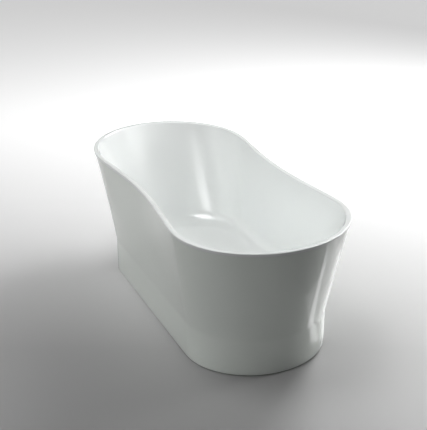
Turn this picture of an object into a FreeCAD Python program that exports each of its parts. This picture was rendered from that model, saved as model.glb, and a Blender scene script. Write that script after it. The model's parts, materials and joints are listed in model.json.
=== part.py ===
import FreeCAD, Part
import math
import os

# Freestanding double-skin acrylic bathtub: an inner basin and an outer skirt joined under a thin rim,
# standing on a hidden steel frame with five levelling feet. Millimetres.
# Origin: on the floor, under the middle of the rim's bounding box. +Z is up, +X points to the foot end,
# where the waste is, and -X to the reclined head end.

# --- Driving dimensions -------------------------------------------------------------------------
HEIGHT = 612.0                # floor to top of rim
SKIRT_BOTTOM = 4.0            # shadow gap under the skirt
CREASE_HEIGHT = 168.0         # where the upright plinth turns into the flared skirt
CREASE_BLEND = 14.0           # half the height over which the crease is rounded
PLINTH_HALF_WIDTH = 320.0
PLINTH_FOOT_X = 749.0
PLINTH_HEAD_X = -589.0
FOOT_CAP = 286.0              # length of the plinth's half-ellipse at the foot end
HEAD_CAP = 192.0              # the same at the head end
SIDE_FLARE = 0.202            # how far the skirt leans out per millimetre of height
FOOT_FLARE = 0.220
HEAD_FLARE = 0.582
WAIST_DEPTH = 63.0            # how far each long side is pinched in at the rim
WAIST_X = 10.0
WAIST_SPREAD = 474.0          # how far along the side the pinch fades

RIM_WIDTH = 22.0
RIM_THICKNESS = 6.0
RIM_ROUND = 4.0               # radius of the rim's two top edges
LIP_DEPTH = 15.0              # height of the rim's turned-down lip
LIP_THICKNESS = 3.0
FIT_GAP = 0.3                 # air left between curved faces that lie against each other
SKIRT_WALL = 4.0
SKIRT_FLANGE = 20.0           # width of the inward flange along the skirt's bottom
SKIRT_FLANGE_THICKNESS = 6.0
BOND_THICKNESS = 2.0          # adhesive bed between skirt and rim

FLOOR_HEIGHT = 170.0          # inside floor of the basin
BASIN_WALL = 5.0
LAMINATE_WALL = 3.0
LAMINATE_TOP = 570.0
BASIN_SIDE_SLOPE = 0.22
BASIN_FOOT_SLOPE = 0.45
BASIN_HEAD_SLOPE = 0.80
FLOOR_RADIUS = 80.0           # rounding between floor and walls
HEAD_RADIUS = 140.0           # the same below the backrest
FLOOR_CAP = 200.0             # length of the rounded ends of the flat floor
BEND_ANGLES = range(0, 80, 8)              # degrees round the floor's edge where the basin gets a ring
WALL_SHARES = (0.35, 0.5, 0.65, 0.8)       # shares of the basin's depth where its walls get a ring
SKIRT_SHARES = (0.35, 0.7)                 # the same for the skirt's flared part

BOARD_THICKNESS = 18.0
BOARD_HALF_WIDTH = 190.0
BOARD_HEAD_X = -360.0
BOARD_FOOT_X = 440.0
BOARD_CORNER = 60.0
TUBE = 30.0                   # square steel tube of the frame
TUBE_WALL = 2.0
RAIL_Y = 150.0
RAIL_HEAD_X = -530.0
RAIL_FOOT_X = 670.0
BEARERS = {"head": (-440.0, 225.0), "middle": (40.0, 285.0), "foot": (640.0, 215.0)}
FEET = {
    "head_left": (-440.0, 195.0),
    "head_right": (-440.0, -195.0),
    "middle": (40.0, 0.0),
    "foot_left": (640.0, 190.0),
    "foot_right": (640.0, -190.0),
}

STUD_RADIUS = 6.0             # M12 levelling stud
STUD_CLEARANCE = 0.05         # running clearance around studs and the plug's stem
STUD_TOP = 135.0
STUD_NECK_RADIUS = 5.0
STUD_HEX = 17.0
STUD_HEX_BOTTOM = 14.0
STUD_HEX_TOP = 20.0
NUT_HEX = 19.0
NUT_HEIGHT = 10.0
LOCK_NUT_HEIGHT = 8.0
STUD_HOLE_RADIUS = 6.6
PAD_RADIUS = 20.0
PAD_HEIGHT = 12.0
PAD_SOCKET_BOTTOM = 6.0
PAD_ROUND = 1.0

SCREW_RADIUS = 2.4
SCREW_HOLE_RADIUS = 2.6
SCREW_HEAD_RADIUS = 5.0
SCREW_HEAD_HEIGHT = 3.0
BOARD_SCREW_X = (-330.0, -120.0, 160.0, 400.0)
BOARD_SCREW_BITE = 12.0       # depth of the screw holes in board and battens
SCREW_END_GAP = 1.0
BATTEN_WIDTH = 20.0
BATTEN_BOTTOM = 60.0
BATTEN_TOP = 104.0
BATTEN_HEAD_X = -370.0
BATTEN_FOOT_X = 440.0
BRACKET_X = (-260.0, 320.0)
BRACKET_WIDTH = 40.0
BRACKET_SHEET = 3.0
BRACKET_DROP = 40.0

WASTE_X = 520.0
WASTE_HOLE_RADIUS = 26.0
FLANGE_RADIUS = 35.0
FLANGE_THICKNESS = 3.0
THROAT_RADIUS = 24.0
THROAT_BORE = 20.0
THROAT_BOTTOM = 106.0
FLANGE_ROUND = 1.0
SEAL_THICKNESS = 1.0
SEAL_MARGIN = 1.0             # how far the waste seals stay inside the flange and off the throat
BOTTOM_SEAL_THICKNESS = 3.0
BACK_NUT_HEIGHT = 8.0
BACK_NUT_HEX = 66.0
HUB_RADIUS = 8.0
HUB_HEIGHT = 6.0
HUB_BOTTOM = 142.0
SPOKE_WIDTH = 3.0
PLUG_RADIUS = 31.0
PLUG_THICKNESS = 5.0
PLUG_ROUND = 1.5
PLUG_SEAL_OUTER = 27.0
PLUG_SEAL_INNER = 21.0
STEM_RADIUS = 4.0
STEM_BOTTOM = 132.0
BODY_RADIUS = 29.0
BODY_BOTTOM = 98.0
PIPE_SEAT = 4.0               # wall between the waste body and the seat of the overflow pipe
PIPE_SEAT_GAP = 1.0
INLET_HEIGHT = 128.0
INLET_RADIUS = 14.5
INLET_LENGTH = 58.0           # from the waste's axis to the inlet's mouth
WINDOW_RADIUS = 9.0

TAIL_RADIUS = 20.0            # 40 mm waste pipe
TAIL_BORE = 17.0
TAIL_BOTTOM = 42.0
BOWL_RADIUS = 36.0
BOWL_BOTTOM = 20.0
BOWL_TOP = 74.0
BOWL_WALL = 3.0
TRAP_NUT_HEX = 56.0
TRAP_NUT_HEIGHT = 12.0
OUTLET_HEIGHT = 54.0
OUTLET_JOINT_X = 458.0
OUTLET_X = 405.0
OUTLET_BOTTOM = 6.0
OUTLET_NUT_WIDTH = 20.0
OUTLET_NUT_RADIUS = 27.0
OUTLET_COLLAR_RADIUS = 23.0   # thickened bend of the outlet
OUTLET_COLLAR_BOTTOM = 32.0   # the plain pipe end starts here

OVERFLOW_HEIGHT = 480.0
OVERFLOW_HOLE_RADIUS = 25.0
COVER_RADIUS = 33.0
COVER_THICKNESS = 7.0
COVER_ROUND = 2.0
COVER_HOLLOW_RADIUS = 28.0
COVER_HOLLOW_DEPTH = 4.5
COVER_SLOT_WIDTH = 30.0
OVERFLOW_SEAL_OUTER = 30.0
OVERFLOW_SEAL_INNER = 28.0
OVERFLOW_SEAL_THICKNESS = 2.0
WALL_BOW = 1.6                # how far the curved end wall bows away behind the flat overflow seal
OVERFLOW_BODY_RADIUS = 27.0
OVERFLOW_BODY_DEPTH = 22.0
OVERFLOW_BODY_WALL = 3.0
OVERFLOW_HUB_RADIUS = 6.0
OVERFLOW_SCREW_RADIUS = 2.5
OVERFLOW_SCREW_HEAD = 6.0
SPIGOT_RADIUS = 9.4
SPIGOT_BORE = 7.5
SPIGOT_REACH = 46.0
PIPE_RADIUS = 11.5
PIPE_BORE = 9.5
PIPE_DEPTH = 12.5             # pipe axis behind the laminate
PIPE_START = 31.0             # from the overflow's axis, down along the wall
PIPE_BEND = 60.0
PIPE_NUT_RADIUS = 18.0
PIPE_NUT_WIDTH = 10.0

CAP_STEPS = 10                # outline points on a quarter of each rounded end
SIDE_STEPS = 12               # outline points along each long side
ROUND_STEPS = 3               # steps in a rounded edge
OVERCUT = 5.0                 # how far a cutting body runs past the face it cuts

# --- Sizes that follow --------------------------------------------------------------------------
FOOT_START = PLINTH_FOOT_X - FOOT_CAP
HEAD_START = PLINTH_HEAD_X + HEAD_CAP
RIM_OVERHANG = LIP_THICKNESS + FIT_GAP
FULL_FLARE = HEIGHT - CREASE_HEIGHT
BASIN_RIM_HALF_WIDTH = PLINTH_HALF_WIDTH + SIDE_FLARE * FULL_FLARE + RIM_OVERHANG - RIM_WIDTH
BASIN_RIM_FOOT_X = PLINTH_FOOT_X + FOOT_FLARE * FULL_FLARE + RIM_OVERHANG - RIM_WIDTH
BASIN_RIM_HEAD_X = PLINTH_HEAD_X - HEAD_FLARE * FULL_FLARE - RIM_OVERHANG + RIM_WIDTH
SKIRT_TOP = HEIGHT - RIM_THICKNESS - BOND_THICKNESS
LAMINATE_OFFSET = BASIN_WALL + FIT_GAP
SHELL_OFFSET = LAMINATE_OFFSET + LAMINATE_WALL
SHELL_BOTTOM = FLOOR_HEIGHT - BASIN_WALL - LAMINATE_WALL
BOARD_BOTTOM = SHELL_BOTTOM - BOARD_THICKNESS
RAIL_BOTTOM = BOARD_BOTTOM - TUBE
BEARER_BOTTOM = RAIL_BOTTOM - TUBE
BATTEN_FACE_Y = PLINTH_HALF_WIDTH - SKIRT_WALL - FIT_GAP
FLANGE_BOTTOM = FLOOR_HEIGHT + SEAL_THICKNESS
FLANGE_TOP = FLANGE_BOTTOM + FLANGE_THICKNESS
PLUG_BOTTOM = FLANGE_TOP + SEAL_THICKNESS
BACK_NUT_TOP = SHELL_BOTTOM - BOTTOM_SEAL_THICKNESS
BODY_TOP = BACK_NUT_TOP - BACK_NUT_HEIGHT


def vector(x, y, z):
    return FreeCAD.Vector(x, y, z)


UP = vector(0, 0, 1)
TO_FOOT = vector(1, 0, 0)

# --- Basic shapes -------------------------------------------------------------------------------


def block(low, high):
    size = [high[axis] - low[axis] for axis in range(3)]
    return Part.makeBox(size[0], size[1], size[2], vector(*low))


def rod(radius, start, direction, length):
    return Part.makeCylinder(radius, length, start, direction)


def upright(radius, x, y, bottom, top):
    return rod(radius, vector(x, y, bottom), UP, top - bottom)


def upright_ring(outer, inner, x, y, bottom, top):
    return upright(outer, x, y, bottom, top).cut(upright(inner, x, y, bottom, top))


def pipe_piece(outer, inner, start, direction, length):
    return rod(outer, start, direction, length).cut(rod(inner, start, direction, length))


def hexagon(across_flats, x, y, bottom, top):
    corner = across_flats / math.sqrt(3)
    corners = []
    for index in range(7):
        angle = math.radians(60 * index)
        corners.append(vector(x + corner * math.cos(angle), y + corner * math.sin(angle), bottom))
    face = Part.Face(Part.makePolygon(corners))
    return face.extrude(vector(0, 0, top - bottom))


def nut(across_flats, bore, x, y, bottom, top):
    return hexagon(across_flats, x, y, bottom, top).cut(upright(bore, x, y, bottom, top))


def square_tube(low, high, axis):
    """Hollow square tube between two corners, running along axis 0 (X) or 1 (Y)."""
    inner_low = [value + TUBE_WALL for value in low]
    inner_high = [value - TUBE_WALL for value in high]
    inner_low[axis] = low[axis]
    inner_high[axis] = high[axis]
    return block(low, high).cut(block(inner_low, inner_high))


def joined(shapes):
    return shapes[0].multiFuse(shapes[1:]).removeSplitter()


def without(shape, tools):
    for tool in tools:
        shape = shape.cut(tool)
    return shape


def save(name, solids):
    """Writes one node: a single solid, or a group of separate ones."""
    shape = solids[0] if len(solids) == 1 else Part.makeCompound(solids)
    shape.exportStep("parts/" + name + ".step")


# --- Plan outlines ------------------------------------------------------------------------------


def outline(half_width, foot_x, head_x, foot_start, head_start, waist):
    """Straight sides between two half-ellipse ends, with both sides pinched at mid length."""
    plain = []
    for step in range(2 * CAP_STEPS):
        angle = math.pi / 2 * (step / CAP_STEPS - 1)
        x = foot_start + (foot_x - foot_start) * math.cos(angle)
        plain.append((x, half_width * math.sin(angle)))
    for step in range(SIDE_STEPS):
        x = foot_start + (head_start - foot_start) * step / SIDE_STEPS
        plain.append((x, half_width))
    for step in range(2 * CAP_STEPS):
        angle = math.pi / 2 * (step / CAP_STEPS + 1)
        x = head_start + (head_start - head_x) * math.cos(angle)
        plain.append((x, half_width * math.sin(angle)))
    for step in range(SIDE_STEPS):
        x = head_start + (foot_start - head_start) * step / SIDE_STEPS
        plain.append((x, -half_width))
    pinched = []
    for x, y in plain:
        pinch = waist * math.exp(-((x - WAIST_X) / WAIST_SPREAD) ** 2)
        pinched.append((x, y * (1 - pinch / half_width)))
    return pinched


def offset(points, distance):
    """Moves each point of an outline outward by distance."""
    moved = []
    for index, (x, y) in enumerate(points):
        before = points[index - 1]
        after = points[(index + 1) % len(points)]
        along_x = after[0] - before[0]
        along_y = after[1] - before[1]
        length = math.hypot(along_x, along_y)
        moved.append((x + distance * along_y / length, y - distance * along_x / length))
    return moved


def ring(points, height):
    curve = Part.BSplineCurve()
    curve.interpolate(Points=[vector(x, y, height) for x, y in points], PeriodicFlag=True)
    return Part.Wire([curve.toShape()])


def loft(rings):
    return Part.makeLoft(rings, True, True)


# --- Outer skirt --------------------------------------------------------------------------------


def flare(height):
    """Height above the crease, with the crease itself rounded off."""
    above = height - CREASE_HEIGHT
    if above <= -CREASE_BLEND:
        return 0.0
    if above >= CREASE_BLEND:
        return above
    return (above + CREASE_BLEND) ** 2 / (4 * CREASE_BLEND)


def skirt_outline(height):
    lift = flare(height)
    return outline(
        PLINTH_HALF_WIDTH + SIDE_FLARE * lift,
        PLINTH_FOOT_X + FOOT_FLARE * lift,
        PLINTH_HEAD_X - HEAD_FLARE * lift,
        FOOT_START,
        HEAD_START,
        WAIST_DEPTH * lift / FULL_FLARE,
    )


def skirt_body(inset, bottom, top):
    """Solid of the skirt's shape, drawn in by inset, between two heights."""
    heights = [bottom, top]
    for step in range(-2, 3):
        heights.append(CREASE_HEIGHT + CREASE_BLEND * step / 2)
    for share in SKIRT_SHARES:
        heights.append(CREASE_HEIGHT + FULL_FLARE * share)
    heights = sorted(height for height in set(heights) if bottom <= height <= top)
    return loft([ring(offset(skirt_outline(height), -inset), height) for height in heights])


def outer_skirt():
    shell = skirt_body(0, SKIRT_BOTTOM, SKIRT_TOP)
    flange_top = SKIRT_BOTTOM + SKIRT_FLANGE_THICKNESS
    hollow = skirt_body(SKIRT_WALL, flange_top, SKIRT_TOP + OVERCUT)
    flange_hole = skirt_body(SKIRT_FLANGE, SKIRT_BOTTOM - OVERCUT, flange_top + OVERCUT)
    return without(shell, [hollow, flange_hole])


def rim_bond():
    top = SKIRT_TOP + BOND_THICKNESS
    bead = skirt_body(FIT_GAP, SKIRT_TOP, top)
    return bead.cut(skirt_body(SKIRT_WALL - FIT_GAP, SKIRT_TOP - OVERCUT, top + OVERCUT))


# --- Inner basin --------------------------------------------------------------------------------


def wall_reach(rise, slope, radius):
    """How far a wall stands out from the flat floor's edge at a given rise above the floor."""
    rise = max(rise, 0.0)
    lean = math.atan(slope)
    tangent_rise = radius * (1 - math.sin(lean))
    if rise < tangent_rise:
        return math.sqrt(rise * (2 * radius - rise))
    return radius * math.cos(lean) + (rise - tangent_rise) * slope


FULL_RISE = HEIGHT - FLOOR_HEIGHT
FLOOR_HALF_WIDTH = BASIN_RIM_HALF_WIDTH - wall_reach(FULL_RISE, BASIN_SIDE_SLOPE, FLOOR_RADIUS)
FLOOR_FOOT_X = BASIN_RIM_FOOT_X - wall_reach(FULL_RISE, BASIN_FOOT_SLOPE, FLOOR_RADIUS)
FLOOR_HEAD_X = BASIN_RIM_HEAD_X + wall_reach(FULL_RISE, BASIN_HEAD_SLOPE, HEAD_RADIUS)


def basin_outline(height, grow):
    """Plan of the basin's inside, or of a surface parallel to it and grow millimetres outside it."""
    rise = height - FLOOR_HEIGHT + grow
    share = min(rise / FULL_RISE, 1.0)
    return outline(
        FLOOR_HALF_WIDTH + wall_reach(rise, BASIN_SIDE_SLOPE, FLOOR_RADIUS + grow),
        FLOOR_FOOT_X + wall_reach(rise, BASIN_FOOT_SLOPE, FLOOR_RADIUS + grow),
        FLOOR_HEAD_X - wall_reach(rise, BASIN_HEAD_SLOPE, HEAD_RADIUS + grow),
        FOOT_START * share + (FLOOR_FOOT_X - FLOOR_CAP) * (1 - share),
        HEAD_START * share + (FLOOR_HEAD_X + FLOOR_CAP) * (1 - share),
        WAIST_DEPTH * share,
    )


def basin_rings(grow, top):
    """Rings from the floor up to top, close together where the floor turns into the walls."""
    bottom = FLOOR_HEIGHT - grow
    rises = [HEAD_RADIUS * (1 - math.cos(math.radians(angle))) for angle in BEND_ANGLES]
    rises += [FULL_RISE * share for share in WALL_SHARES]
    heights = [bottom + rise for rise in rises if bottom + rise < top] + [top]
    return [ring(basin_outline(height, grow), height) for height in heights]


def round_steps():
    """Steps of a quarter-round top edge: depth below the top, and how far the edge is drawn back."""
    steps = []
    for index in range(ROUND_STEPS + 1):
        angle = math.pi / 2 * index / ROUND_STEPS
        steps.append((RIM_ROUND * (1 - math.sin(angle)), RIM_ROUND * (1 - math.cos(angle))))
    return steps


def basin_hollow():
    rings = basin_rings(0, HEIGHT - RIM_ROUND)
    for depth, back in round_steps()[1:]:
        rings.append(ring(offset(basin_outline(HEIGHT - depth, 0), back), HEIGHT - depth))
    rings.append(ring(offset(basin_outline(HEIGHT, 0), RIM_ROUND), HEIGHT + OVERCUT))
    return loft(rings)


def rim_blank():
    rings = [ring(offset(skirt_outline(HEIGHT - LIP_DEPTH), RIM_OVERHANG), HEIGHT - LIP_DEPTH)]
    for depth, back in round_steps():
        height = HEIGHT - depth
        rings.append(ring(offset(skirt_outline(height), RIM_OVERHANG - back), height))
    return loft(rings)


def lip_hollow():
    """Space under the rim, inside its lip, that takes the skirt's top edge."""
    bottom = HEIGHT - LIP_DEPTH - OVERCUT
    top = HEIGHT - RIM_THICKNESS
    return loft([ring(offset(skirt_outline(height), FIT_GAP), height) for height in (bottom, top)])


def waste_hole():
    return upright(WASTE_HOLE_RADIUS, WASTE_X, 0, BOARD_BOTTOM, FLOOR_HEIGHT + OVERCUT)


def inner_basin():
    bowl = loft(basin_rings(BASIN_WALL, HEIGHT - RIM_THICKNESS))
    under_rim = lip_hollow().cut(bowl)
    blank = rim_blank().cut(under_rim).fuse(bowl)
    return without(blank, [basin_hollow(), waste_hole(), overflow_hole()])


def basin_laminate():
    outside = loft(basin_rings(SHELL_OFFSET, LAMINATE_TOP))
    outside = outside.common(block((-HEIGHT * 2, -HEIGHT, SHELL_BOTTOM), (HEIGHT * 2, HEIGHT, HEIGHT)))
    inside = loft(basin_rings(LAMINATE_OFFSET, LAMINATE_TOP + OVERCUT))
    below = block((-HEIGHT * 2, -HEIGHT, 0), (HEIGHT * 2, HEIGHT, FLOOR_HEIGHT - BASIN_WALL))
    return without(outside, [inside.cut(below), waste_hole(), overflow_hole()])


# --- Support frame ------------------------------------------------------------------------------


def board_screw_places():
    return [(x, y) for x in BOARD_SCREW_X for y in (-RAIL_Y, RAIL_Y)]


def base_board():
    low = (BOARD_HEAD_X, -BOARD_HALF_WIDTH, BOARD_BOTTOM)
    high = (BOARD_FOOT_X, BOARD_HALF_WIDTH, SHELL_BOTTOM)
    board = block(low, high)
    corners = [edge for edge in board.Edges if edge.BoundBox.ZLength > BOARD_THICKNESS / 2]
    board = board.makeFillet(BOARD_CORNER, corners)
    hole_top = BOARD_BOTTOM + BOARD_SCREW_BITE
    holes = []
    for x, y in board_screw_places():
        holes.append(upright(SCREW_HOLE_RADIUS, x, y, BOARD_BOTTOM, hole_top))
    return without(board, holes)


def frame_rail(side):
    low = [RAIL_HEAD_X, side * RAIL_Y - TUBE / 2, RAIL_BOTTOM]
    high = [RAIL_FOOT_X, side * RAIL_Y + TUBE / 2, BOARD_BOTTOM]
    holes = []
    for x in BOARD_SCREW_X:
        holes.append(upright(SCREW_HOLE_RADIUS, x, side * RAIL_Y, RAIL_BOTTOM, BOARD_BOTTOM))
    return without(square_tube(low, high, 0), holes)


def cross_bearer(name):
    x, half_length = BEARERS[name]
    low = [x - TUBE / 2, -half_length, BEARER_BOTTOM]
    high = [x + TUBE / 2, half_length, RAIL_BOTTOM]
    holes = []
    for foot_x, foot_y in FEET.values():
        if foot_x == x:
            holes.append(upright(STUD_HOLE_RADIUS, foot_x, foot_y, BEARER_BOTTOM, RAIL_BOTTOM))
    return without(square_tube(low, high, 1), holes)


def screw(x, y, base, length):
    """Pan-head screw driven upward, with its head's flat side at base."""
    head = upright(SCREW_HEAD_RADIUS, x, y, base - SCREW_HEAD_HEIGHT, base)
    return head.fuse(upright(SCREW_RADIUS, x, y, base, base + length)).removeSplitter()


def frame_screws():
    length = TUBE + BOARD_SCREW_BITE - SCREW_END_GAP
    return [screw(x, y, RAIL_BOTTOM, length) for x, y in board_screw_places()]


def skirt_batten(side):
    near = side * (BATTEN_FACE_Y - BATTEN_WIDTH)
    far = side * BATTEN_FACE_Y
    low = (BATTEN_HEAD_X, min(near, far), BATTEN_BOTTOM)
    high = (BATTEN_FOOT_X, max(near, far), BATTEN_TOP)
    middle = (BATTEN_BOTTOM + BATTEN_TOP) / 2
    holes = []
    for x in BRACKET_X:
        start = vector(x, near, middle)
        holes.append(rod(SCREW_HOLE_RADIUS, start, vector(0, side, 0), BOARD_SCREW_BITE))
    return without(block(low, high), holes)


def skirt_bracket(x, side):
    """Angle that hangs under a rail and holds the batten behind the skirt."""
    face = BATTEN_FACE_Y - BATTEN_WIDTH
    half = BRACKET_WIDTH / 2
    top_low = (x - half, RAIL_Y - TUBE / 2, RAIL_BOTTOM - BRACKET_SHEET)
    leg_low = (x - half, face - BRACKET_SHEET, RAIL_BOTTOM - BRACKET_DROP)
    corner = (x + half, face, RAIL_BOTTOM)
    angle = joined([block(top_low, corner), block(leg_low, corner)])
    middle = (BATTEN_BOTTOM + BATTEN_TOP) / 2
    hole_start = vector(x, face - BRACKET_SHEET - OVERCUT, middle)
    hole = rod(SCREW_HOLE_RADIUS, hole_start, vector(0, 1, 0), BRACKET_SHEET + 2 * OVERCUT)
    angle = angle.cut(hole)
    if side < 0:
        angle = angle.mirror(vector(0, 0, 0), vector(0, 1, 0))
    return angle


def skirt_brackets():
    return [skirt_bracket(x, side) for x in BRACKET_X for side in (1, -1)]


def bracket_screws():
    screws = []
    middle = (BATTEN_BOTTOM + BATTEN_TOP) / 2
    for x in BRACKET_X:
        for side in (1, -1):
            outward = vector(0, side, 0)
            face = side * (BATTEN_FACE_Y - BATTEN_WIDTH - BRACKET_SHEET)
            head_start = vector(x, face - side * SCREW_HEAD_HEIGHT, middle)
            head = rod(SCREW_HEAD_RADIUS, head_start, outward, SCREW_HEAD_HEIGHT)
            shank = rod(SCREW_RADIUS, vector(x, face, middle), outward, BOARD_SCREW_BITE)
            screws.append(head.fuse(shank).removeSplitter())
    return screws


# --- Levelling feet -----------------------------------------------------------------------------


def foot_stud(x, y):
    neck = upright(STUD_NECK_RADIUS, x, y, PAD_SOCKET_BOTTOM, STUD_HEX_BOTTOM)
    grip = hexagon(STUD_HEX, x, y, STUD_HEX_BOTTOM, STUD_HEX_TOP)
    shank = upright(STUD_RADIUS, x, y, STUD_HEX_TOP, STUD_TOP)
    return joined([neck, grip, shank])


def foot_pad(x, y):
    pad = upright(PAD_RADIUS, x, y, 0, PAD_HEIGHT)
    top_edges = [edge for edge in pad.Edges if edge.BoundBox.ZMin > PAD_HEIGHT - PAD_ROUND]
    pad = pad.makeFillet(PAD_ROUND, top_edges)
    return pad.cut(upright(STUD_NECK_RADIUS + STUD_CLEARANCE, x, y, PAD_SOCKET_BOTTOM, PAD_HEIGHT))


def foot_weld_nuts():
    bore = STUD_RADIUS + STUD_CLEARANCE
    return [nut(NUT_HEX, bore, x, y, BEARER_BOTTOM - NUT_HEIGHT, BEARER_BOTTOM) for x, y in FEET.values()]


def foot_lock_nuts():
    bore = STUD_RADIUS + STUD_CLEARANCE
    return [nut(NUT_HEX, bore, x, y, RAIL_BOTTOM, RAIL_BOTTOM + LOCK_NUT_HEIGHT) for x, y in FEET.values()]


# --- Waste and plug -----------------------------------------------------------------------------


def waste_flange():
    """Chrome flange with its threaded throat, and a spoked hub inside that guides the plug's stem."""
    dish = upright(FLANGE_RADIUS, WASTE_X, 0, FLANGE_BOTTOM, FLANGE_TOP)
    top_edges = [edge for edge in dish.Edges if edge.BoundBox.ZMin > FLANGE_TOP - FLANGE_ROUND]
    dish = dish.makeFillet(FLANGE_ROUND, top_edges)
    throat = upright(THROAT_RADIUS, WASTE_X, 0, THROAT_BOTTOM, FLANGE_BOTTOM)
    bored = dish.fuse(throat).cut(upright(THROAT_BORE, WASTE_X, 0, THROAT_BOTTOM, FLANGE_TOP))
    hub_top = HUB_BOTTOM + HUB_HEIGHT
    reach = (THROAT_BORE + THROAT_RADIUS) / 2
    half = SPOKE_WIDTH / 2
    pieces = [
        bored,
        upright(HUB_RADIUS, WASTE_X, 0, HUB_BOTTOM, hub_top),
        block((WASTE_X - reach, -half, HUB_BOTTOM), (WASTE_X + reach, half, hub_top)),
        block((WASTE_X - half, -reach, HUB_BOTTOM), (WASTE_X + half, reach, hub_top)),
    ]
    stem_bore = upright(STEM_RADIUS + STUD_CLEARANCE, WASTE_X, 0, HUB_BOTTOM, hub_top)
    window_start = vector(WASTE_X - FLANGE_RADIUS, 0, INLET_HEIGHT)
    window = rod(WINDOW_RADIUS, window_start, TO_FOOT, 2 * FLANGE_RADIUS)
    return without(joined(pieces), [stem_bore, window])


def waste_seal(bottom, top):
    return upright_ring(FLANGE_RADIUS - SEAL_MARGIN, THROAT_RADIUS + SEAL_MARGIN, WASTE_X, 0, bottom, top)


def waste_back_nut():
    return nut(BACK_NUT_HEX, THROAT_RADIUS + STUD_CLEARANCE, WASTE_X, 0, BODY_TOP, BACK_NUT_TOP)


def waste_body():
    """Socket around the throat, with the overflow's inlet on one side and the tail pipe below."""
    mouth = vector(WASTE_X, 0, INLET_HEIGHT)
    shell = [
        upright(BODY_RADIUS, WASTE_X, 0, BODY_BOTTOM, BODY_TOP),
        upright(TAIL_RADIUS, WASTE_X, 0, TAIL_BOTTOM, BODY_BOTTOM),
        rod(INLET_RADIUS, mouth, TO_FOOT, INLET_LENGTH),
    ]
    socket = upright(THROAT_RADIUS + STUD_CLEARANCE, WASTE_X, 0, THROAT_BOTTOM, BODY_TOP)
    tail = upright(TAIL_BORE, WASTE_X, 0, TAIL_BOTTOM, THROAT_BOTTOM)
    inlet = rod(PIPE_BORE, mouth, TO_FOOT, INLET_LENGTH)
    seat_start = vector(WASTE_X + BODY_RADIUS + PIPE_SEAT, 0, INLET_HEIGHT)
    seat = rod(PIPE_RADIUS + STUD_CLEARANCE, seat_start, TO_FOOT, INLET_LENGTH)
    return without(joined(shell), [socket, tail, inlet, seat])


def plug_cap():
    top = PLUG_BOTTOM + PLUG_THICKNESS
    cap = upright(PLUG_RADIUS, WASTE_X, 0, PLUG_BOTTOM, top)
    rim = [edge for edge in cap.Edges if edge.BoundBox.ZMin > top - PLUG_ROUND]
    return cap.makeFillet(PLUG_ROUND, rim)


def plug_seal():
    return upright_ring(PLUG_SEAL_OUTER, PLUG_SEAL_INNER, WASTE_X, 0, FLANGE_TOP, PLUG_BOTTOM)


def plug_stem():
    return upright(STEM_RADIUS, WASTE_X, 0, STEM_BOTTOM, PLUG_BOTTOM)


# --- Trap ---------------------------------------------------------------------------------------


def trap_nut():
    return nut(TRAP_NUT_HEX, TAIL_RADIUS + FIT_GAP, WASTE_X, 0, BOWL_TOP, BOWL_TOP + TRAP_NUT_HEIGHT)


def trap_body():
    bowl = upright(BOWL_RADIUS, WASTE_X, 0, BOWL_BOTTOM, BOWL_TOP)
    arm_start = vector(OUTLET_JOINT_X, 0, OUTLET_HEIGHT)
    arm_length = WASTE_X - OUTLET_JOINT_X
    hollow = upright(BOWL_RADIUS - BOWL_WALL, WASTE_X, 0, BOWL_BOTTOM + BOWL_WALL, BOWL_TOP - BOWL_WALL)
    tools = [
        hollow,
        rod(TAIL_BORE, arm_start, TO_FOOT, arm_length),
        upright(TAIL_RADIUS + FIT_GAP, WASTE_X, 0, BOWL_TOP - OVERCUT, BOWL_TOP),
    ]
    return without(joined([bowl, rod(TAIL_RADIUS, arm_start, TO_FOOT, arm_length)]), tools)


def trap_outlet_nut():
    start = vector(OUTLET_JOINT_X - OUTLET_NUT_WIDTH / 2, 0, OUTLET_HEIGHT)
    return pipe_piece(OUTLET_NUT_RADIUS, TAIL_RADIUS + STUD_CLEARANCE, start, TO_FOOT, OUTLET_NUT_WIDTH)


def elbow(radius):
    """Solid elbow of the outlet: level towards the trap, then straight down."""
    level = rod(radius, vector(OUTLET_X, 0, OUTLET_HEIGHT), TO_FOOT, OUTLET_JOINT_X - OUTLET_X)
    knee = Part.makeSphere(radius, vector(OUTLET_X, 0, OUTLET_HEIGHT))
    drop = upright(radius, OUTLET_X, 0, OUTLET_BOTTOM, OUTLET_HEIGHT)
    return joined([level, knee, drop])


def trap_outlet():
    """Outlet elbow, thickened round its bend and plain at its lower end."""
    knee = Part.makeSphere(OUTLET_COLLAR_RADIUS, vector(OUTLET_X, 0, OUTLET_HEIGHT))
    collar = upright(OUTLET_COLLAR_RADIUS, OUTLET_X, 0, OUTLET_COLLAR_BOTTOM, OUTLET_HEIGHT)
    return joined([elbow(TAIL_RADIUS), knee, collar]).cut(elbow(TAIL_BORE))


# --- Overflow -----------------------------------------------------------------------------------

WALL_LEAN = math.atan(BASIN_FOOT_SLOPE)
OUTWARD = vector(math.cos(WALL_LEAN), 0, -math.sin(WALL_LEAN))
DOWN_WALL = vector(-math.sin(WALL_LEAN), 0, -math.cos(WALL_LEAN))
OVERFLOW_CENTRE = vector(
    BASIN_RIM_FOOT_X - BASIN_FOOT_SLOPE * (HEIGHT - OVERFLOW_HEIGHT), 0, OVERFLOW_HEIGHT
)


def at_depth(depth):
    """Point on the overflow's axis, depth millimetres outside the basin's inner face."""
    return OVERFLOW_CENTRE + OUTWARD * depth


def overflow_hole():
    length = SHELL_OFFSET + WALL_BOW + 2 * OVERCUT
    return rod(OVERFLOW_HOLE_RADIUS, at_depth(-WALL_BOW - OVERCUT), OUTWARD, length)


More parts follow.
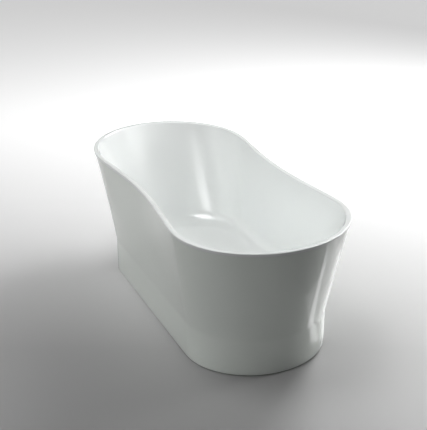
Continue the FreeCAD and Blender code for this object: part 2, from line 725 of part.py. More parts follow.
def overflow_cover():
    front = -WALL_BOW - OVERFLOW_SEAL_THICKNESS - COVER_THICKNESS
    cover = rod(COVER_RADIUS, at_depth(front), OUTWARD, COVER_THICKNESS)
    face_edges = []
    for edge in cover.Edges:
        if edge.Closed and (edge.CenterOfMass - at_depth(front)).Length < COVER_ROUND:
            face_edges.append(edge)
    cover = cover.makeFillet(COVER_ROUND, face_edges)
    back = -WALL_BOW - OVERFLOW_SEAL_THICKNESS
    hollow = rod(COVER_HOLLOW_RADIUS, at_depth(back - COVER_HOLLOW_DEPTH), OUTWARD, COVER_HOLLOW_DEPTH)
    slot = Part.makeBox(COVER_SLOT_WIDTH, COVER_RADIUS, COVER_HOLLOW_DEPTH)
    axes = FreeCAD.Rotation(vector(0, 1, 0), DOWN_WALL, OUTWARD, "ZXY")
    corner = at_depth(back - COVER_HOLLOW_DEPTH) - vector(0, COVER_SLOT_WIDTH / 2, 0)
    slot.Placement = FreeCAD.Placement(corner, axes)
    bore = rod(OVERFLOW_SCREW_RADIUS + FIT_GAP, at_depth(front), OUTWARD, COVER_THICKNESS)
    return without(cover, [hollow, slot, bore])


def overflow_seal():
    start = at_depth(-WALL_BOW - OVERFLOW_SEAL_THICKNESS)
    outer = rod(OVERFLOW_SEAL_OUTER, start, OUTWARD, OVERFLOW_SEAL_THICKNESS)
    return outer.cut(rod(OVERFLOW_SEAL_INNER, start, OUTWARD, OVERFLOW_SEAL_THICKNESS))


def overflow_body():
    """Cup behind the wall with a central screw boss and a spigot that points down along the wall."""
    front = at_depth(SHELL_OFFSET + FIT_GAP)
    cup = rod(OVERFLOW_BODY_RADIUS, front, OUTWARD, OVERFLOW_BODY_DEPTH)
    spigot_start = at_depth(SHELL_OFFSET + PIPE_DEPTH)
    spigot = rod(SPIGOT_RADIUS, spigot_start, DOWN_WALL, SPIGOT_REACH)
    hollow_depth = OVERFLOW_BODY_DEPTH - OVERFLOW_BODY_WALL
    hollow = rod(OVERFLOW_BODY_RADIUS - OVERFLOW_BODY_WALL, front, OUTWARD, hollow_depth)
    boss = rod(OVERFLOW_HUB_RADIUS, front, OUTWARD, OVERFLOW_BODY_DEPTH)
    boss_bore = rod(OVERFLOW_SCREW_RADIUS + STUD_CLEARANCE, front, OUTWARD, hollow_depth)
    spigot_bore = rod(SPIGOT_BORE, spigot_start, DOWN_WALL, SPIGOT_REACH)
    shell = without(joined([cup, spigot]), [hollow, spigot_bore])
    return joined([shell, boss]).cut(boss_bore)


def overflow_screw():
    front = -WALL_BOW - OVERFLOW_SEAL_THICKNESS - COVER_THICKNESS
    head = rod(OVERFLOW_SCREW_HEAD, at_depth(front - SCREW_HEAD_HEIGHT / 2), OUTWARD, SCREW_HEAD_HEIGHT / 2)
    reach = SHELL_OFFSET + OVERFLOW_BODY_DEPTH / 2 - front
    return head.fuse(rod(OVERFLOW_SCREW_RADIUS, at_depth(front), OUTWARD, reach)).removeSplitter()


def pipe_path():
    """Straight down behind the end wall, then one bend to level, into the waste body's inlet."""
    start = at_depth(SHELL_OFFSET + PIPE_DEPTH) + DOWN_WALL * PIPE_START
    fall = (start.z - INLET_HEIGHT) / math.cos(WALL_LEAN)
    corner = start + DOWN_WALL * fall
    end = vector(WASTE_X + BODY_RADIUS + PIPE_SEAT + PIPE_SEAT_GAP, 0, INLET_HEIGHT)
    half_turn = (math.pi / 2 - WALL_LEAN) / 2
    setback = PIPE_BEND * math.tan(half_turn)
    bend_in = corner - DOWN_WALL * setback
    bend_out = corner - TO_FOOT * setback
    towards_centre = (bend_in + bend_out) * 0.5 - corner
    towards_centre.normalize()
    centre = corner + towards_centre * (PIPE_BEND / math.cos(half_turn))
    bend_middle = centre - towards_centre * PIPE_BEND
    edges = [
        Part.LineSegment(start, bend_in).toShape(),
        Part.Arc(bend_in, bend_middle, bend_out).toShape(),
        Part.LineSegment(bend_out, end).toShape(),
    ]
    return Part.Wire(edges), start


def overflow_pipe():
    path, start = pipe_path()
    tubes = []
    for radius in (PIPE_RADIUS, PIPE_BORE):
        circle = Part.Wire([Part.Circle(start, DOWN_WALL, radius).toShape()])
        tubes.append(path.makePipeShell([circle], True, True))
    return tubes[0].cut(tubes[1])


def pipe_nut():
    start = vector(WASTE_X + INLET_LENGTH, 0, INLET_HEIGHT)
    return pipe_piece(PIPE_NUT_RADIUS, PIPE_RADIUS + STUD_CLEARANCE, start, TO_FOOT, PIPE_NUT_WIDTH)


# --- Write every node ---------------------------------------------------------------------------


def main():
    os.makedirs("parts", exist_ok=True)
    save("inner_basin", [inner_basin()])
    save("basin_laminate", [basin_laminate()])
    save("outer_skirt", [outer_skirt()])
    save("rim_bond", [rim_bond()])
    save("base_board", [base_board()])
    for word, side in (("left", 1), ("right", -1)):
        save("frame_rail_" + word, [frame_rail(side)])
        save("skirt_batten_" + word, [skirt_batten(side)])
    for word in BEARERS:
        save("cross_bearer_" + word, [cross_bearer(word)])
    save("frame_screws", frame_screws())
    save("skirt_brackets", skirt_brackets())
    save("bracket_screws", bracket_screws())
    for word, (x, y) in FEET.items():
        save("foot_stud_" + word, [foot_stud(x, y)])
        save("foot_pad_" + word, [foot_pad(x, y)])
    save("foot_weld_nuts", foot_weld_nuts())
    save("foot_lock_nuts", foot_lock_nuts())
    save("waste_flange", [waste_flange()])
    save("waste_top_seal", [waste_seal(FLOOR_HEIGHT, FLANGE_BOTTOM)])
    save("waste_bottom_seal", [waste_seal(BACK_NUT_TOP, SHELL_BOTTOM)])
    save("waste_back_nut", [waste_back_nut()])
    save("waste_body", [waste_body()])
    save("plug_cap", [plug_cap()])
    save("plug_seal", [plug_seal()])
    save("plug_stem", [plug_stem()])
    save("trap_nut", [trap_nut()])
    save("trap_body", [trap_body()])
    save("trap_outlet_nut", [trap_outlet_nut()])
    save("trap_outlet", [trap_outlet()])
    save("overflow_cover", [overflow_cover()])
    save("overflow_seal", [overflow_seal()])
    save("overflow_body", [overflow_body()])
    save("overflow_screw", [overflow_screw()])
    save("overflow_pipe", [overflow_pipe()])
    save("pipe_nut", [pipe_nut()])


main()
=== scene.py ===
import json
import math

import bpy
from mathutils import Matrix, Vector


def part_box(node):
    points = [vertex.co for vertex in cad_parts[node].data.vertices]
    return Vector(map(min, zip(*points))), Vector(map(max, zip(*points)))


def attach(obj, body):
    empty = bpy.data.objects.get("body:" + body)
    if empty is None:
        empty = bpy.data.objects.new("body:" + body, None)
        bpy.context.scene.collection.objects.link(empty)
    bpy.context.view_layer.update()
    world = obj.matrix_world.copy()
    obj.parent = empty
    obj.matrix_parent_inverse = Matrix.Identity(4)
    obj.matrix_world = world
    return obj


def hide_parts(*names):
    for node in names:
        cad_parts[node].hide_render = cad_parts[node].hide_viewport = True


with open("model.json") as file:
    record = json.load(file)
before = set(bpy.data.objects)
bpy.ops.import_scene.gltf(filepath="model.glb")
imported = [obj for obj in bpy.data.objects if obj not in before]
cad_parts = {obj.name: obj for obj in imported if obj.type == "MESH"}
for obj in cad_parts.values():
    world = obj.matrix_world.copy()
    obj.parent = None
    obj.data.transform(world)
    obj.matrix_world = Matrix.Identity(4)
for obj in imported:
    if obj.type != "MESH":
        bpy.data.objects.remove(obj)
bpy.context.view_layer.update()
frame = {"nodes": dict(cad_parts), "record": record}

# --- The tub's shape, in metres, as in the CAD --------------------------------------------------
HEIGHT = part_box("inner_basin")[1][2]
SKIRT_BOTTOM = 0.004
CREASE_HEIGHT = 0.168
CREASE_BLEND = 0.014
PLINTH_HALF_WIDTH = 0.320
PLINTH_FOOT_X = 0.749
PLINTH_HEAD_X = -0.589
FOOT_CAP = 0.286
HEAD_CAP = 0.192
SIDE_FLARE = 0.202
FOOT_FLARE = 0.220
HEAD_FLARE = 0.582
WAIST_DEPTH = 0.063
WAIST_X = 0.010
WAIST_SPREAD = 0.474
RIM_WIDTH = 0.022
RIM_THICKNESS = 0.006
RIM_ROUND = 0.004
LIP_DEPTH = 0.015
LIP_THICKNESS = 0.003
FIT_GAP = 0.0003
SKIRT_WALL = 0.004
SKIRT_FLANGE = 0.020
SKIRT_FLANGE_THICKNESS = 0.006
BOND_THICKNESS = 0.002
FLOOR_HEIGHT = 0.170
BASIN_WALL = 0.005
BASIN_SIDE_SLOPE = 0.22
BASIN_FOOT_SLOPE = 0.45
BASIN_HEAD_SLOPE = 0.80
FLOOR_RADIUS = 0.080
HEAD_RADIUS = 0.140
FLOOR_CAP = 0.200
SMALL_ROUND = 0.0012          # softened edges of the lip
FOOT_ROUND = 0.003            # softened bottom edge of the skirt
WASTE_HOLE_RADIUS = 0.026
OVERFLOW_HOLE_RADIUS = 0.025

FOOT_START = PLINTH_FOOT_X - FOOT_CAP
HEAD_START = PLINTH_HEAD_X + HEAD_CAP
RIM_OVERHANG = LIP_THICKNESS + FIT_GAP
FULL_FLARE = HEIGHT - CREASE_HEIGHT
FULL_RISE = HEIGHT - FLOOR_HEIGHT
SKIRT_TOP = HEIGHT - RIM_THICKNESS - BOND_THICKNESS

CAP_STEPS = 60                # outline points on a quarter of each rounded end
SIDE_STEPS = 90               # outline points along each long side
WALL_STEPS = 40               # rows up each tall wall
ROUND_STEPS = 6               # rows in a rounded edge
FLOOR_STEPS = 10              # rings across the flat floor
PLINTH_STEPS = 6              # rows up the plinth, below the crease
CREASE_STEPS = 10             # rows over the crease
FIRST_RING = 0.04             # size of the smallest floor ring, as a share of the floor
BEND_END = 88                 # degrees turned where the floor's bend has become wall
BEND_STEP = 3                 # degrees from one row of the bend to the next
CUTTER_SIDES = 96             # sides of the cylinder that cuts the two holes
CUTTER_DEPTH = 0.06           # its length, well over the wall's thickness

# --- Camera -------------------------------------------------------------------------------------
CAMERA_TARGET = Vector((-0.227, 0.126, 0.300))
CAMERA_AZIMUTH = math.radians(65.45)      # turned from looking along +Y
CAMERA_ELEVATION = math.radians(23.92)
CAMERA_DISTANCE = 4.539
LENS = 76.34
SENSOR = 36.0

# --- Studio -------------------------------------------------------------------------------------
# The floor's light is painted: its colour runs from grey painted shade in front of the tub to white
# painted light behind it, and the white end glows.
FLOOR_PAINTED_SHADE_AT = -2.0          # metres beyond the origin, as seen from the camera
FLOOR_PAINTED_LIGHT_AT = 3.0
FLOOR_PAINTED_SHADE_GREY = 0.20
FLOOR_PAINTED_LIGHT_WHITE = 0.90
FLOOR_GLOW = 0.55             # glow of the floor's white end
FLOOR_SIZE = 200.0
FLOOR_ROUGHNESS = 0.45
WORLD_GLOW = 0.02
MIDDLE = Vector((0, 0, 0.4))  # what the soft cards are aimed at
HEAD_WALL = Vector((-0.56, 0.2, 0.35))    # basin wall that the slim bar is aimed at
BAR_DISTANCE = 4.5            # from the head wall to both ends of the bar
BAR_WIDTH = 0.15


# --- Outlines -----------------------------------------------------------------------------------


def outline(half_width, foot_x, head_x, foot_start, head_start, waist):
    """Straight sides between two half-ellipse ends, with both sides pinched at mid length."""
    plain = []
    for step in range(2 * CAP_STEPS):
        angle = math.pi / 2 * (step / CAP_STEPS - 1)
        x = foot_start + (foot_x - foot_start) * math.cos(angle)
        plain.append((x, half_width * math.sin(angle)))
    for step in range(SIDE_STEPS):
        x = foot_start + (head_start - foot_start) * step / SIDE_STEPS
        plain.append((x, half_width))
    for step in range(2 * CAP_STEPS):
        angle = math.pi / 2 * (step / CAP_STEPS + 1)
        x = head_start + (head_start - head_x) * math.cos(angle)
        plain.append((x, half_width * math.sin(angle)))
    for step in range(SIDE_STEPS):
        x = head_start + (foot_start - head_start) * step / SIDE_STEPS
        plain.append((x, -half_width))
    pinched = []
    for x, y in plain:
        pinch = waist * math.exp(-((x - WAIST_X) / WAIST_SPREAD) ** 2)
        pinched.append((x, y * (1 - pinch / half_width)))
    return pinched


def offset(points, distance):
    """Moves each point of an outline outward by distance."""
    moved = []
    for index, (x, y) in enumerate(points):
        before = points[index - 1]
        after = points[(index + 1) % len(points)]
        along_x = after[0] - before[0]
        along_y = after[1] - before[1]
        length = math.hypot(along_x, along_y)
        moved.append((x + distance * along_y / length, y - distance * along_x / length))
    return moved


def at_height(points, height):
    return [(x, y, height) for x, y in points]


def flare(height):
    """Height above the crease, with the crease itself rounded off."""
    above = height - CREASE_HEIGHT
    if above <= -CREASE_BLEND:
        return 0.0
    if above >= CREASE_BLEND:
        return above
    return (above + CREASE_BLEND) ** 2 / (4 * CREASE_BLEND)


def skirt_row(height, grow):
    lift = flare(height)
    points = outline(
        PLINTH_HALF_WIDTH + SIDE_FLARE * lift,
        PLINTH_FOOT_X + FOOT_FLARE * lift,
        PLINTH_HEAD_X - HEAD_FLARE * lift,
        FOOT_START,
        HEAD_START,
        WAIST_DEPTH * lift / FULL_FLARE,
    )
    return at_height(offset(points, grow), height)


def wall_reach(rise, slope, radius):
    """How far a wall stands out from the flat floor's edge at a given rise above the floor."""
    rise = max(rise, 0.0)
    lean = math.atan(slope)
    tangent_rise = radius * (1 - math.sin(lean))
    if rise < tangent_rise:
        return math.sqrt(rise * (2 * radius - rise))
    return radius * math.cos(lean) + (rise - tangent_rise) * slope


RIM_HALF_WIDTH = PLINTH_HALF_WIDTH + SIDE_FLARE * FULL_FLARE + RIM_OVERHANG - RIM_WIDTH
RIM_FOOT_X = PLINTH_FOOT_X + FOOT_FLARE * FULL_FLARE + RIM_OVERHANG - RIM_WIDTH
RIM_HEAD_X = PLINTH_HEAD_X - HEAD_FLARE * FULL_FLARE - RIM_OVERHANG + RIM_WIDTH
FLOOR_HALF_WIDTH = RIM_HALF_WIDTH - wall_reach(FULL_RISE, BASIN_SIDE_SLOPE, FLOOR_RADIUS)
FLOOR_FOOT_X = RIM_FOOT_X - wall_reach(FULL_RISE, BASIN_FOOT_SLOPE, FLOOR_RADIUS)
FLOOR_HEAD_X = RIM_HEAD_X + wall_reach(FULL_RISE, BASIN_HEAD_SLOPE, HEAD_RADIUS)


def basin_row(height, grow, spread=0.0):
    """Row of the basin's inside, or of a surface parallel to it and grow outside it."""
    rise = height - FLOOR_HEIGHT + grow
    share = min(max(rise, 0.0) / FULL_RISE, 1.0)
    points = outline(
        FLOOR_HALF_WIDTH + wall_reach(rise, BASIN_SIDE_SLOPE, FLOOR_RADIUS + grow),
        FLOOR_FOOT_X + wall_reach(rise, BASIN_FOOT_SLOPE, FLOOR_RADIUS + grow),
        FLOOR_HEAD_X - wall_reach(rise, BASIN_HEAD_SLOPE, HEAD_RADIUS + grow),
        FOOT_START * share + (FLOOR_FOOT_X - FLOOR_CAP) * (1 - share),
        HEAD_START * share + (FLOOR_HEAD_X + FLOOR_CAP) * (1 - share),
        WAIST_DEPTH * share,
    )
    return at_height(offset(points, spread), height)


# --- Meshes -------------------------------------------------------------------------------------


def quarter(steps):
    """Sine and cosine of evenly spaced angles over a quarter turn."""
    angles = [math.pi / 2 * step / steps for step in range(steps + 1)]
    return [(math.sin(angle), math.cos(angle)) for angle in angles]


def spaced(low, high, steps):
    return [low + (high - low) * step / steps for step in range(steps + 1)]


def grid_mesh(name, rows, capped):
    """Closed skin through rows of points. Its end rows are filled if capped, else joined."""
    count = len(rows[0])
    points = [point for row in rows for point in row]
    faces = []
    last = len(rows) if not capped else len(rows) - 1
    for index in range(last):
        low = index * count
        high = (index + 1) % len(rows) * count
        for step in range(count):
            after = (step + 1) % count
            faces.append((low + step, low + after, high + after, high + step))
    if capped:
        faces.append(tuple(reversed(range(count))))
        faces.append(tuple(range((len(rows) - 1) * count, len(rows) * count)))
    mesh = bpy.data.meshes.new(name)
    mesh.from_pydata(points, [], faces)
    mesh.validate()
    piece = bpy.data.objects.new(name, mesh)
    bpy.context.scene.collection.objects.link(piece)
    mesh.shade_smooth()
    return piece


def skirt_heights(bottom, top):
    """Heights from bottom to top, close together over the crease."""
    low = CREASE_HEIGHT - CREASE_BLEND
    high = CREASE_HEIGHT + CREASE_BLEND
    plinth = spaced(bottom, low, PLINTH_STEPS)[:-1]
    return plinth + spaced(low, high, CREASE_STEPS) + spaced(high, top, WALL_STEPS)[1:]


def make_skirt():
    """Outer face up from the shadow gap, over the top edge, and down inside to the bottom flange."""
    rows = []
    for sine, cosine in quarter(ROUND_STEPS):
        rows.append(skirt_row(SKIRT_BOTTOM + FOOT_ROUND * (1 - cosine), FOOT_ROUND * (sine - 1)))
    for height in skirt_heights(SKIRT_BOTTOM + FOOT_ROUND, SKIRT_TOP)[1:]:
        rows.append(skirt_row(height, 0))
    flange_top = SKIRT_BOTTOM + SKIRT_FLANGE_THICKNESS
    for height in reversed(skirt_heights(flange_top, SKIRT_TOP)):
        rows.append(skirt_row(height, -SKIRT_WALL))
    rows.append(skirt_row(flange_top, -SKIRT_FLANGE))
    rows.append(skirt_row(SKIRT_BOTTOM, -SKIRT_FLANGE))
    return grid_mesh("skirt_shell", rows, capped=False)


def basin_heights(grow, top):
    """Heights from the floor to top, close together where the floor turns into the walls."""
    bottom = FLOOR_HEIGHT - grow
    angles = range(0, BEND_END, BEND_STEP)
    bend = [HEAD_RADIUS * (1 - math.cos(math.radians(angle))) for angle in angles]
    low = [bottom + rise for rise in bend]
    return low + spaced(low[-1], top, WALL_STEPS)[1:]


def floor_rings(height, grow):
    """Rings from a small one in the middle of the flat floor out to just inside its edge."""
    edge = basin_row(height, grow)
    middle_x = (FLOOR_FOOT_X + FLOOR_HEAD_X) / 2
    rings = []
    for share in spaced(FIRST_RING, 1.0, FLOOR_STEPS)[:-1]:
        rings.append([(middle_x + (x - middle_x) * share, y * share, z) for x, y, z in edge])
    return rings


def make_basin():
    """From the middle of the underside, up the back of the wall, over the rim, and down inside."""
    under = FLOOR_HEIGHT - BASIN_WALL
    rim_under = HEIGHT - RIM_THICKNESS
    lip_bottom = HEIGHT - LIP_DEPTH
    rows = floor_rings(under, BASIN_WALL)
    rows += [basin_row(height, BASIN_WALL) for height in basin_heights(BASIN_WALL, rim_under)]
    rows.append(skirt_row(rim_under, FIT_GAP))
    rows.append(skirt_row(lip_bottom + SMALL_ROUND, FIT_GAP))
    for sine, cosine in quarter(ROUND_STEPS)[1:]:
        grow = FIT_GAP + SMALL_ROUND * (1 - cosine)
        rows.append(skirt_row(lip_bottom + SMALL_ROUND * (1 - sine), grow))
    for sine, cosine in quarter(ROUND_STEPS):
        grow = RIM_OVERHANG - SMALL_ROUND * (1 - sine)
        rows.append(skirt_row(lip_bottom + SMALL_ROUND * (1 - cosine), grow))
    for sine, cosine in quarter(ROUND_STEPS):
        grow = RIM_OVERHANG - RIM_ROUND * (1 - cosine)
        rows.append(skirt_row(HEIGHT - RIM_ROUND * (1 - sine), grow))
    for sine, cosine in reversed(quarter(ROUND_STEPS)):
        rows.append(basin_row(HEIGHT - RIM_ROUND * (1 - sine), 0, RIM_ROUND * (1 - cosine)))
    inside = basin_heights(0, HEIGHT - RIM_ROUND)[:-1]
    rows += [basin_row(height, 0) for height in reversed(inside)]
    rows += reversed(floor_rings(FLOOR_HEIGHT, 0))
    piece = grid_mesh("basin_shell", rows, capped=True)
    cut_hole(piece, waste_centre(), Vector((0, 0, 1)), WASTE_HOLE_RADIUS)
    cut_hole(piece, overflow_centre(), overflow_axis(), OVERFLOW_HOLE_RADIUS)
    return piece


def waste_centre():
    low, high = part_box("plug_cap")
    return Vector(((low[0] + high[0]) / 2, (low[1] + high[1]) / 2, FLOOR_HEIGHT))


def overflow_axis():
    lean = math.atan(BASIN_FOOT_SLOPE)
    return Vector((math.cos(lean), 0, -math.sin(lean)))


def overflow_centre():
    low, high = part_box("overflow_seal")
    return Vector(((low[0] + high[0]) / 2, 0, (low[2] + high[2]) / 2))


def cut_hole(piece, centre, axis, radius):
    """Cuts a round hole of this radius through a piece."""
    bpy.ops.mesh.primitive_cylinder_add(
        vertices=CUTTER_SIDES, radius=radius, depth=CUTTER_DEPTH, location=centre)
    tool = bpy.context.object
    tool.rotation_euler = axis.to_track_quat("Z", "Y").to_euler()
    cut = piece.modifiers.new("hole", "BOOLEAN")
    cut.operation = "DIFFERENCE"
    cut.object = tool
    cut.solver = "EXACT"
    bpy.context.view_layer.update()
    graph = bpy.context.evaluated_depsgraph_get()
    shaped = bpy.data.meshes.new_from_object(piece.evaluated_get(graph))
    piece.modifiers.clear()
    piece.data = shaped
    bpy.data.objects.remove(tool)


# --- Materials ----------------------------------------------------------------------------------


class Nodes:
    """Small helper that builds one material's node tree."""

    def __init__(self, name):
        self.material = bpy.data.materials.new(name)
        self.material.use_nodes = True
        self.tree = self.material.node_tree
        self.shader = self.tree.nodes["Principled BSDF"]
        self.place = self.tree.nodes.new("ShaderNodeTexCoord").outputs["Object"]

    def set(self, **values):
        for key, value in values.items():
            self.shader.inputs[key.replace("_", " ")].default_value = value

    def link(self, source, target):
        self.tree.links.new(source, target)

    def stretch(self, scale):
        node = self.tree.nodes.new("ShaderNodeMapping")
        node.inputs["Scale"].default_value = scale
        self.link(self.place, node.inputs["Vector"])
        return node.outputs["Vector"]

    def noise(self, scale, detail=3.0, vector=None):
        node = self.tree.nodes.new("ShaderNodeTexNoise")
        node.inputs["Scale"].default_value = scale
        node.inputs["Detail"].default_value = detail
        self.link(vector or self.place, node.inputs["Vector"])
        return node.outputs["Fac"]

    def ramp(self, value, low, high, low_at=0.3, high_at=0.7):
        """Maps a value to a colour between two grey levels or colours."""
        node = self.tree.nodes.new("ShaderNodeValToRGB")
        for element, place, colour in zip(node.color_ramp.elements, (low_at, high_at), (low, high)):
            element.position = place
            parts = colour if isinstance(colour, tuple) else (colour, colour, colour)
            element.color = (*parts, 1)
        self.link(value, node.inputs["Fac"])
        return node.outputs["Color"]

    def bump(self, height, distance, strength=1.0, normal=None):
        node = self.tree.nodes.new("ShaderNodeBump")
        node.inputs["Distance"].default_value = distance
        node.inputs["Strength"].default_value = strength
        self.link(height, node.inputs["Height"])
        if normal:
            self.link(normal, node.inputs["Normal"])
        return node.outputs["Normal"]

    def colour(self, source):
        self.link(source, self.shader.inputs["Base Color"])

    def roughness(self, source):
        self.link(source, self.shader.inputs["Roughness"])

    def normal(self, source):
        self.link(source, self.shader.inputs["Normal"])


def acrylic(name, darker, lighter):
    """Polished white sanitary acrylic: long soft waviness, faint haze and hairline wiping marks."""
    made = Nodes(name)
    made.colour(made.ramp(made.noise(2.5), darker, lighter))
    made.roughness(made.ramp(made.noise(9.0, 5.0), 0.045, 0.085))
    wave = made.bump(made.noise(7.0, 1.0), 0.00035, 0.5)
    made.normal(made.bump(made.noise(900.0, 2.0), 0.00001, 0.3, wave))
    made.set(IOR=1.49, Coat_Weight=0.3, Coat_Roughness=0.03)
    return made.material


def metal(name, colour, roughness, streak):
    """Plated or polished metal with fine streaks along one direction."""
    made = Nodes(name)
    lines = made.noise(60.0, 4.0, made.stretch(streak))
    darker = tuple(value * 0.86 for value in colour)
    made.colour(made.ramp(lines, darker, colour))
    made.roughness(made.ramp(lines, roughness * 0.7, roughness * 1.4))
    made.normal(made.bump(lines, 0.00004, 0.4))
    made.set(Metallic=1.0)
    return made.material


def moulded(name, colour, roughness, grain):
    """Moulded plastic, rubber or paint: slight tone drift and a fine grain."""
    made = Nodes(name)
    darker = tuple(value * 0.82 for value in colour)
    made.colour(made.ramp(made.noise(14.0, 4.0), darker, colour))
    made.roughness(made.ramp(made.noise(40.0, 3.0), roughness * 0.8, min(roughness * 1.2, 1.0)))
    made.normal(made.bump(made.noise(grain, 2.0), 0.00012, 0.5))
    return made.material


def timber():
    """Softwood ply and batten: long grain along X with darker late-wood lines."""
    made = Nodes("timber")
    grain = made.noise(5.0, 8.0, made.stretch((1.2, 22.0, 22.0)))
    made.colour(made.ramp(grain, (0.42, 0.27, 0.13), (0.70, 0.52, 0.31)))
    made.roughness(made.ramp(grain, 0.75, 0.55))
    made.normal(made.bump(grain, 0.0004, 0.5))
    return made.material


def laminate():
    """Glass-fibre backing: sprayed strands that stand proud of a resin skin."""
    made = Nodes("laminate")
    strands = made.noise(120.0, 6.0, made.stretch((1.0, 0.25, 1.0)))
    made.colour(made.ramp(strands, (0.55, 0.50, 0.36), (0.80, 0.77, 0.64)))
    made.roughness(made.ramp(strands, 0.35, 0.65))
    made.normal(made.bump(strands, 0.0008, 0.8))
    return made.material


MATERIALS = {
    # Basin and skirt are one white acrylic in two copies: the skirt's copy is painted darker and
    # greener than the basin's, as painted shade.
    "acrylic": acrylic("acrylic", (0.866, 0.890, 0.880), (0.884, 0.906, 0.897)),
    "acrylic_painted_shade": acrylic("acrylic_painted_shade", (0.815, 0.862, 0.815), (0.835, 0.880, 0.835)),
    "laminate": laminate(),
    "timber": timber(),
    "adhesive": moulded("adhesive", (0.80, 0.80, 0.77), 0.45, 300.0),
    "painted_steel": moulded("painted_steel", (0.045, 0.050, 0.055), 0.42, 700.0),
    "black_rubber": moulded("black_rubber", (0.030, 0.030, 0.030), 0.75, 500.0),
    "white_plastic": moulded("white_plastic", (0.78, 0.78, 0.76), 0.30, 250.0),
    "grey_plastic": moulded("grey_plastic", (0.16, 0.17, 0.18), 0.40, 350.0),
    "zinc_steel": metal("zinc_steel", (0.62, 0.63, 0.65), 0.32, (1.0, 1.0, 6.0)),
    "chrome": metal("chrome", (0.86, 0.87, 0.88), 0.06, (1.0, 1.0, 1.0)),
    "brass": metal("brass", (0.78, 0.58, 0.28), 0.25, (1.0, 1.0, 8.0)),
}


def dress(piece, finish):
    piece.data.materials.clear()
    piece.data.materials.append(MATERIALS[finish])


# --- Pieces -------------------------------------------------------------------------------------

for row in frame["record"]["subparts"]:
    dress(frame["nodes"][row["node"]], row["material_slot"])

SHELLS = (
    # the skirt wears the copy of the acrylic painted darker and greener as painted shade
    (make_skirt(), "outer_skirt", "acrylic_painted_shade"),
    (make_basin(), "inner_basin", "acrylic"),
)
for piece, node, finish in SHELLS:
    dress(piece, finish)
    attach(piece, "tub")
    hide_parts(node)


# --- Floor, light and camera --------------------------------------------------------------------


def plane(name, size, location):
    bpy.ops.mesh.primitive_plane_add(size=1, location=location)
    piece = bpy.context.object
    piece.name = name
    piece.scale = (size[0], size[1], 1)
    return piece


def make_floor():
    """Seamless studio floor whose light is painted: grey painted shade in front of the tub, running
    out to glowing white painted light behind it.
    """
    floor = plane("studio_floor", (FLOOR_SIZE, FLOOR_SIZE), (0, 0, 0))
    made = Nodes("studio_floor")
    place = made.tree.nodes.new("ShaderNodeNewGeometry").outputs["Position"]
    away = made.tree.nodes.new("ShaderNodeVectorMath")
    away.operation = "DOT_PRODUCT"
    away.inputs[1].default_value = (-math.sin(CAMERA_AZIMUTH), math.cos(CAMERA_AZIMUTH), 0)
    made.link(place, away.inputs[0])
    reach = made.tree.nodes.new("ShaderNodeMapRange")
    reach.inputs["From Min"].default_value = FLOOR_PAINTED_SHADE_AT
    reach.inputs["From Max"].default_value = FLOOR_PAINTED_LIGHT_AT
    made.link(away.outputs["Value"], reach.inputs["Value"])
    # painted shade and light: the colour ramps from grey to white with distance from the camera, and
    # the far end glows
    made.colour(made.ramp(reach.outputs["Result"], FLOOR_PAINTED_SHADE_GREY, FLOOR_PAINTED_LIGHT_WHITE, 0.0, 1.0))
    glow = made.ramp(reach.outputs["Result"], 0.0, FLOOR_GLOW, 0.3, 0.9)
    made.link(glow, made.shader.inputs["Emission Color"])
    made.set(Emission_Strength=1.0, Roughness=FLOOR_ROUGHNESS)
    floor.data.materials.append(made.material)


def around(centre, azimuth, elevation, distance):
    """Place at a distance from a centre. Azimuth 0 is +X and 90 is +Y."""
    turn = math.radians(azimuth)
    rise = math.radians(elevation)
    flat = math.cos(rise) * distance
    step = Vector((flat * math.cos(turn), flat * math.sin(turn), math.sin(rise) * distance))
    return centre + step


def low_light(name, strength, size, location, turn):
    """Light panel lying face up on the floor, seen only in the gloss of the skirt."""
    data = bpy.data.lights.new(name, "AREA")
    data.shape = "RECTANGLE"
    data.size = size[0]
    data.size_y = size[1]
    data.energy = strength * math.pi * size[0] * size[1]
    lamp = bpy.data.objects.new(name, data)
    lamp.location = location
    lamp.rotation_euler = (math.pi, 0, turn)
    lamp.visible_camera = False
    bpy.context.scene.collection.objects.link(lamp)


def glowing(name):
    """Black surface that only glows, without its strength."""
    made = Nodes(name)
    made.set(Base_Color=(0, 0, 0, 1), Roughness=1.0, Emission_Color=(1, 1, 1, 1))
    return made


def soft_card(name, strength, size, location, fade):
    """Card facing MIDDLE that fades out at its edges. At fade 1 it fades from its middle on."""
    card = plane(name, size, location)
    card.rotation_euler = (MIDDLE - location).to_track_quat("Z", "Y").to_euler()
    card.visible_camera = False
    made = glowing(name)
    across = made.tree.nodes.new("ShaderNodeTexCoord").outputs["Generated"]
    parts = made.tree.nodes.new("ShaderNodeSeparateXYZ")
    made.link(across, parts.inputs[0])
    glow = made.tree.nodes.new("ShaderNodeMath")
    glow.operation = "MULTIPLY"
    for index, axis in enumerate(("X", "Y")):
        middle = made.tree.nodes.new("ShaderNodeMath")
        middle.operation = "PINGPONG"
        middle.inputs[1].default_value = 0.5
        made.link(parts.outputs[axis], middle.inputs[0])
        edge = made.tree.nodes.new("ShaderNodeMapRange")
        edge.interpolation_type = "SMOOTHSTEP"
        edge.inputs["From Max"].default_value = fade / 2
        edge.inputs["To Max"].default_value = strength if index else 1.0
        made.link(middle.outputs[0], edge.inputs["Value"])
        made.link(edge.outputs["Result"], glow.inputs[index])
    made.link(glow.outputs[0], made.shader.inputs["Emission Strength"])
    card.data.materials.append(made.material)


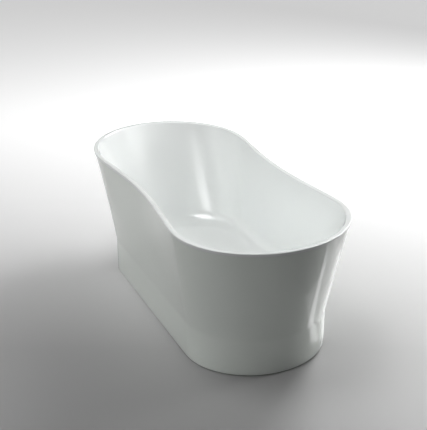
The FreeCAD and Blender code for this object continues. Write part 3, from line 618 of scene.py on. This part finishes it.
def bar_card(name, strength, start, end):
    """Slim bar between two places, facing HEAD_WALL."""
    middle = (start + end) / 2
    along = (end - start).normalized()
    facing = (HEAD_WALL - middle).normalized()
    card = plane(name, ((end - start).length, BAR_WIDTH), (0, 0, 0))
    turn = Matrix((along, facing.cross(along), facing)).transposed().to_4x4()
    card.matrix_world = Matrix.Translation(middle) @ turn @ Matrix.Diagonal((*card.scale, 1))
    card.visible_camera = False
    made = glowing(name)
    made.set(Emission_Strength=strength)
    card.data.materials.append(made.material)


def make_world(strength):
    world = bpy.data.worlds.new("studio")
    world.use_nodes = True
    background = world.node_tree.nodes["Background"]
    background.inputs["Color"].default_value = (1, 1, 1, 1)
    background.inputs["Strength"].default_value = strength
    bpy.context.scene.world = world


def make_camera():
    back = Vector((
        math.sin(CAMERA_AZIMUTH) * math.cos(CAMERA_ELEVATION),
        -math.cos(CAMERA_AZIMUTH) * math.cos(CAMERA_ELEVATION),
        math.sin(CAMERA_ELEVATION),
    ))
    right = Vector((math.cos(CAMERA_AZIMUTH), math.sin(CAMERA_AZIMUTH), 0))
    up = back.cross(right)
    data = bpy.data.cameras.new("camera")
    data.lens = LENS
    data.sensor_width = SENSOR
    data.clip_end = FLOOR_SIZE
    camera = bpy.data.objects.new("camera", data)
    turn = Matrix((right, up, back)).transposed().to_4x4()
    camera.matrix_world = Matrix.Translation(CAMERA_TARGET + back * CAMERA_DISTANCE) @ turn
    bpy.context.scene.collection.objects.link(camera)
    bpy.context.scene.camera = camera


make_floor()
make_world(WORLD_GLOW)
soft_card("right_card", 16.0, (1.6, 2.2), around(MIDDLE, 118, 38, 4.5), 0.25)
soft_card("high_right_card", 1.4, (3.6, 2.6), around(MIDDLE, 85, 54, 4.5), 0.5)
soft_card("low_right_card", 15.0, (1.2, 1.2), around(MIDDLE, 80, 18, 4.5), 0.25)
soft_card("overhead_card", 8.5, (2.2, 2.2), around(MIDDLE, -95, 76, 4.0), 0.7)
soft_card("high_left_card", 3.2, (2.4, 2.0), around(MIDDLE, -105, 55, 4.2), 0.8)
soft_card("left_card", 1.2, (2.4, 2.0), around(MIDDLE, -110, 25, 4.5), 0.8)
soft_card("front_card", 5.4, (2.4, 2.4), around(MIDDLE, -61, 40, 4.5), 1.0)
soft_card("front_left_card", 4.7, (1.8, 1.8), around(MIDDLE, -70, 20, 4.8), 0.6)
BAR_START = around(HEAD_WALL, -69, 39, BAR_DISTANCE)
BAR_STOP = around(HEAD_WALL, -57, 42, BAR_DISTANCE)
bar_card("basin_bar", 2.2, BAR_START, BAR_STOP)
low_light("floor_panel", 0.5, (0.60, 0.75), (0.53, 0.66, 0.006), math.radians(17))
low_light("floor_strip", 1.1, (0.08, 0.62), (0.785, 0.58, 0.008), math.radians(-15))
make_camera()
bpy.context.scene.view_settings.view_transform = "Standard"
